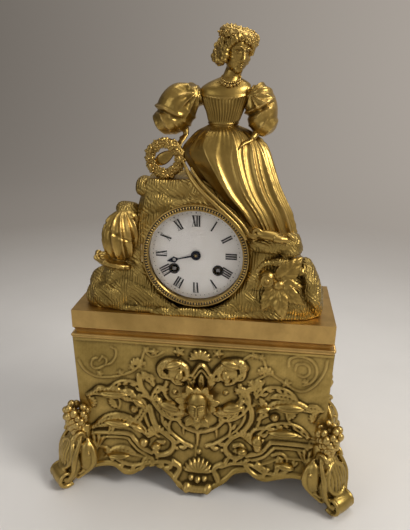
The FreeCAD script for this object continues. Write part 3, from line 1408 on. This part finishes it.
def motion_work():
    x, z = CENTRE
    cannon_start = PLATE_FRONT_Y - MINUTE_LEVEL - WHEEL_THICKNESS
    phase = mate_phase(CANNON_TEETH, direction(MINUTE, CENTRE))
    leaves = gear(CANNON_TEETH, MINUTE_MODULE, x, z, cannon_start, WHEEL_THICKNESS, phase)
    pipe = along_y(CANNON_RADIUS, centre_tip() + HAND_THICKNESS, cannon_start + WHEEL_THICKNESS, x, z)
    bore = along_y(CENTRE_ARBOR + PIVOT_CLEARANCE, centre_tip(), PLATE_FRONT_Y, x, z)
    save("cannon_pinion", leaves.fuse(pipe).cut(bore))
    mx, mz = MINUTE
    hour_start = PLATE_FRONT_Y - HOUR_LEVEL - WHEEL_THICKNESS
    minute = gear(
        MINUTE_TEETH, MINUTE_MODULE, mx, mz, cannon_start, WHEEL_THICKNESS,
        direction(MINUTE, CENTRE), CROSSINGS,
    )
    pinion = gear(
        MINUTE_PINION, HOUR_MODULE, mx, mz, hour_start, cannon_start - hour_start,
        mate_phase(MINUTE_PINION, direction(CENTRE, MINUTE)),
    )
    stud_hole = along_y(STUD_RADIUS + PIVOT_CLEARANCE, hour_start, PLATE_FRONT_Y, mx, mz)
    save("minute_wheel", minute.fuse(pinion).cut(stud_hole))
    hour = gear(HOUR_TEETH, HOUR_MODULE, x, z, hour_start, WHEEL_THICKNESS, direction(CENTRE, MINUTE))
    hour_front = hour_hand_back() - HAND_THICKNESS
    hour_pipe = along_y(HOUR_PIPE_RADIUS, hour_front, hour_start + WHEEL_THICKNESS, x, z)
    hour_bore = along_y(CANNON_RADIUS + PIPE_CLEARANCE, centre_tip(), PLATE_FRONT_Y, x, z)
    save("hour_wheel", hour.fuse(hour_pipe).cut(hour_bore))
    hour_hand()


def hour_hand_back():
    return DIAL_Y - DIAL_CROWN - HAND_GAP


def hour_hand():
    x, z = CENTRE
    back = hour_hand_back()
    front = back - HAND_THICKNESS
    angle = math.pi / 2 - math.radians(HOUR_HAND_ANGLE)
    hub = along_y(HAND_HUB_RADIUS, front, back, x, z)

    def place(along, across):
        base = polar(x, z, along, angle)
        return polar(base[0], base[1], across, angle + math.pi / 2)
    eye = HOUR_HAND_LENGTH * LOZENGE_SHARE
    half = HAND_WIDTH / 2
    thin = half * HALF
    stem = sheet_y([place(0, half), place(0, -half), place(eye, -thin), place(eye, thin)], front, back)
    side = LOZENGE_HALF
    outline = [place(eye - LOZENGE_TAIL, 0), place(eye, side)]
    outline += [place(HOUR_HAND_LENGTH, 0), place(eye, -side)]
    lozenge = sheet_y(outline, front, back)
    opening = along_y(LOZENGE_HOLE, front, back, place(eye, 0)[0], place(eye, 0)[1])
    body = joined([hub, stem, lozenge]).cut(opening)
    save("hour_hand", body.cut(along_y(HOUR_PIPE_RADIUS, front, back, x, z)))


# Escapement and pendulum

def anchor_and_crutch():
    x, z = ANCHOR
    start = PLATE_BACK_Y + ESCAPE_LEVEL
    end = start + ANCHOR_THICKNESS
    reach = ESCAPE_RADIUS + PALLET_GAP
    pieces = [along_y(2 * ANCHOR_BAND, start, end, x, z)]
    for side in (-1, 1):
        angle = math.pi / 2 - side * math.radians(PALLET_ANGLE)
        foot_x, foot_z = polar(ESCAPE[0], ESCAPE[1], reach, angle)
        top_x, top_z = polar(ESCAPE[0], ESCAPE[1], reach + PALLET_WIDTH + ANCHOR_BAND, angle)
        half = PALLET_WIDTH / 2
        arm = [(x, z + ANCHOR_BAND), (x, z - ANCHOR_BAND), (foot_x - side * half, foot_z + half),
               (foot_x + side * half, foot_z + half), (top_x + side * half, top_z + half)]
        pieces.append(sheet_y(arm, start, end))
    pieces.append(along_y(ARBOR_RADIUS, PLATE_BACK_Y + SHOULDER_GAP, COCK_BRIDGE_Y - SHOULDER_GAP, x, z))
    pieces.append(along_y(PIVOT_RADIUS, PLATE_FRONT_Y, COCK_BRIDGE_Y + COCK_THICKNESS * HALF, x, z))
    half = CRUTCH_WIDTH / 2
    crutch_y = (REAR_FACE_Y + 2 * SHOULDER_GAP, REAR_FACE_Y + 2 * SHOULDER_GAP + WHEEL_THICKNESS)
    pieces.append(block((x - half, x + half), crutch_y, (z - CRUTCH_LENGTH, z)))
    inner = ROD_RADIUS + FORK_GAP
    bar = block((x - inner - FORK_PRONG, x + inner + FORK_PRONG), crutch_y,
                (z - CRUTCH_LENGTH, z - CRUTCH_LENGTH + CRUTCH_WIDTH))
    pieces.append(bar)
    for side in (-1, 1):
        near = x + side * inner
        far = x + side * (inner + FORK_PRONG)
        prong_x = (min(near, far), max(near, far))
        pieces.append(block(prong_x, (crutch_y[0], PENDULUM_Y + 2 * ROD_RADIUS),
                            (z - CRUTCH_LENGTH, z - CRUTCH_LENGTH + CRUTCH_WIDTH)))
    save("anchor_and_crutch", pieces[0].multiFuse(pieces[1:]))


def back_cock():
    x, z = ANCHOR
    half = COCK_WIDTH / 2
    tall = COCK_HEIGHT / 2
    bridge_back = COCK_BRIDGE_Y + COCK_THICKNESS
    bridge = block((x - half, x + half), (COCK_BRIDGE_Y, bridge_back), (z - tall, z + tall))
    pieces = [bridge]
    for side in (-1, 1):
        near = x + side * half
        far = x + side * (half - COCK_FOOT)
        foot_x = (min(near, far), max(near, far))
        pieces.append(block(foot_x, (REAR_FACE_Y, COCK_BRIDGE_Y), (z - tall, z + tall)))
    stud_x = (x - SPRING_STRIP_WIDTH, x + SPRING_STRIP_WIDTH)
    stud_top = z + COCK_HEIGHT
    pieces.append(block(stud_x, (COCK_BRIDGE_Y, PENDULUM_Y + COCK_THICKNESS), (z + tall * HALF, stud_top)))
    body = joined(pieces)
    half_strip = SPRING_STRIP_WIDTH / 2 + SHOULDER_GAP
    thick = SPRING_STRIP_THICKNESS / 2 + PIVOT_CLEARANCE
    slot = block((x - half_strip, x + half_strip), (PENDULUM_Y - thick, PENDULUM_Y + thick), (z, stud_top))
    hole = along_y(PIVOT_RADIUS + PIVOT_CLEARANCE, COCK_BRIDGE_Y, bridge_back, x, z)
    save("back_cock", body.cut(slot).cut(hole))


def pendulum():
    x, z = ANCHOR
    half = SPRING_STRIP_WIDTH / 2
    thick = SPRING_STRIP_THICKNESS / 2
    strip_low = z - STRIP_LENGTH * HALF
    strip_high = z + COCK_HEIGHT - SHOULDER_GAP
    strip = block((x - half, x + half), (PENDULUM_Y - thick, PENDULUM_Y + thick), (strip_low, strip_high))
    clamp = block(
        (x - half, x + half), (PENDULUM_Y - ROD_RADIUS, PENDULUM_Y + ROD_RADIUS),
        (strip_low - CRUTCH_WIDTH, strip_low),
    )
    bob_z = z - PENDULUM_LENGTH
    low = bob_z - BOB_RADIUS - 2 * NUT_HEIGHT
    rod = upright(ROD_RADIUS, low, strip_low - CRUTCH_WIDTH * HALF, x, PENDULUM_Y)
    save("pendulum_rod", joined([rod, clamp, strip]))
    depth = BOB_THICKNESS / 2
    crown = depth - BOB_EDGE / 2
    bob = along_y(BOB_RADIUS, PENDULUM_Y - depth, PENDULUM_Y + depth, x, bob_z)
    for side in (-1, 1):
        bob = bob.common(dome(BOB_RADIUS, crown, PENDULUM_Y + side * depth, side, x, bob_z))
    reach = 2 * BOB_RADIUS
    bob_hole = upright(ROD_RADIUS + PIVOT_CLEARANCE, bob_z - reach, bob_z + reach, x, PENDULUM_Y)
    save("pendulum_bob", bob.cut(bob_hole))
    nut_top = bob_z - BOB_RADIUS - NUT_GAP
    nut = upright(NUT_RADIUS, nut_top - NUT_HEIGHT, nut_top, x, PENDULUM_Y)
    nut_hole = upright(ROD_RADIUS + PIVOT_CLEARANCE, nut_top - 2 * NUT_HEIGHT, nut_top, x, PENDULUM_Y)
    save("rating_nut", nut.cut(nut_hole))


# Hammer, bell and stand

def hammer_and_bell():
    x, z = HAMMER
    head_x = DIAL_X + HAMMER_HEAD_X
    head_z = DIAL_Z - HAMMER_HEAD_DROP
    arm_back = HAMMER_ARM_Y + HAMMER_ARM
    shaft = along_y(ARBOR_RADIUS, PLATE_BACK_Y + SHOULDER_GAP, REAR_PLATE_Y - SHOULDER_GAP, x, z)
    pivot = along_y(PIVOT_RADIUS, PLATE_FRONT_Y, arm_back, x, z)
    hub = along_y(2 * STUD_RADIUS, HAMMER_ARM_Y, arm_back, x, z)
    angle = direction((x, z), (head_x, head_z))
    half = HAMMER_ARM / 2
    near_left = polar(x, z, half, angle + math.pi / 2)
    near_right = polar(x, z, half, angle - math.pi / 2)
    far_left = polar(head_x, head_z, half, angle + math.pi / 2)
    far_right = polar(head_x, head_z, half, angle - math.pi / 2)
    arm = sheet_y([near_left, far_left, far_right, near_right], HAMMER_ARM_Y, arm_back)
    head = along_y(HAMMER_HEAD_RADIUS, HAMMER_ARM_Y, BELL_MOUTH_Y + 2 * HAMMER_HEAD_RADIUS, head_x, head_z)
    save("hammer", joined([shaft, pivot, hub, arm, head]))
    bell()


def bell():
    mouth = BELL_MOUTH_Y
    crown = BELL_MOUTH_Y + BELL_DEPTH
    inner = BELL_RADIUS - BELL_WALL
    centre_z = DIAL_Z - BELL_DROP
    outer_mid = Vector(BELL_RADIUS * BELL_SHOULDER_SHARE, mouth + BELL_DEPTH * BELL_RISE_SHARE, 0)
    inner_rise = (BELL_DEPTH - BELL_WALL) * BELL_RISE_SHARE
    inner_mid = Vector(inner * BELL_SHOULDER_SHARE, mouth + inner_rise, 0)
    profile = [
        Part.Arc(Vector(BELL_RADIUS, mouth, 0), outer_mid, Vector(STUD_RADIUS, crown, 0)).toShape(),
        Part.makeLine(Vector(STUD_RADIUS, crown, 0), Vector(STUD_RADIUS, crown - BELL_WALL, 0)),
        Part.Arc(Vector(STUD_RADIUS, crown - BELL_WALL, 0), inner_mid, Vector(inner, mouth, 0)).toShape(),
        Part.makeLine(Vector(inner, mouth, 0), Vector(BELL_RADIUS, mouth, 0)),
    ]
    cup = Part.Face(Part.Wire(profile)).revolve(Vector(0, 0, 0), Vector(0, 1, 0), math.degrees(FULL_TURN))
    cup.translate(Vector(DIAL_X, 0, centre_z))
    save("bell", cup)
    foot_x = DIAL_X + STAND_X
    foot_z = DIAL_Z - STAND_DROP
    strap_start = crown + 2 * BELL_WALL
    post = along_y(STAND_RADIUS, REAR_FACE_Y, strap_start + STAND_STRAP, foot_x, foot_z)
    angle = direction((foot_x, foot_z), (DIAL_X, centre_z))
    corners = []
    for place in ((foot_x, foot_z), (DIAL_X, centre_z)):
        turns = (angle + math.pi / 2, angle - math.pi / 2)
        corners.append([polar(place[0], place[1], STAND_RADIUS, turn) for turn in turns])
    outline = [corners[0][0], corners[1][0], corners[1][1], corners[0][1]]
    strap = sheet_y(outline, strap_start, strap_start + STAND_STRAP)
    boss = along_y(2 * STAND_RADIUS, crown, strap_start + STAND_STRAP, DIAL_X, centre_z)
    stem = along_y(STUD_RADIUS - PIVOT_CLEARANCE, crown - 2 * BELL_WALL, crown, DIAL_X, centre_z)
    nut = along_y(STAND_RADIUS, crown - 2 * BELL_WALL, crown - BELL_WALL, DIAL_X, centre_z)
    save("bell_stand", joined([post, strap, boss, stem, nut]).cut(cup))


def main():
    os.makedirs("parts", exist_ok=True)
    casket_panels()
    feet()
    slab()
    bead_moulding()
    fixing_bolts()
    outside = rock_outside()
    rock(outside)
    skirt = figure(outside)
    rock_dressing(outside, skirt)
    case_drum()
    rear_cover()
    front_bezel()
    hinge_pins()
    dial()
    train()
    count_wheel()
    plates()
    straps()
    motion_work()
    anchor_and_crutch()
    back_cock()
    pendulum()
    hammer_and_bell()


main()
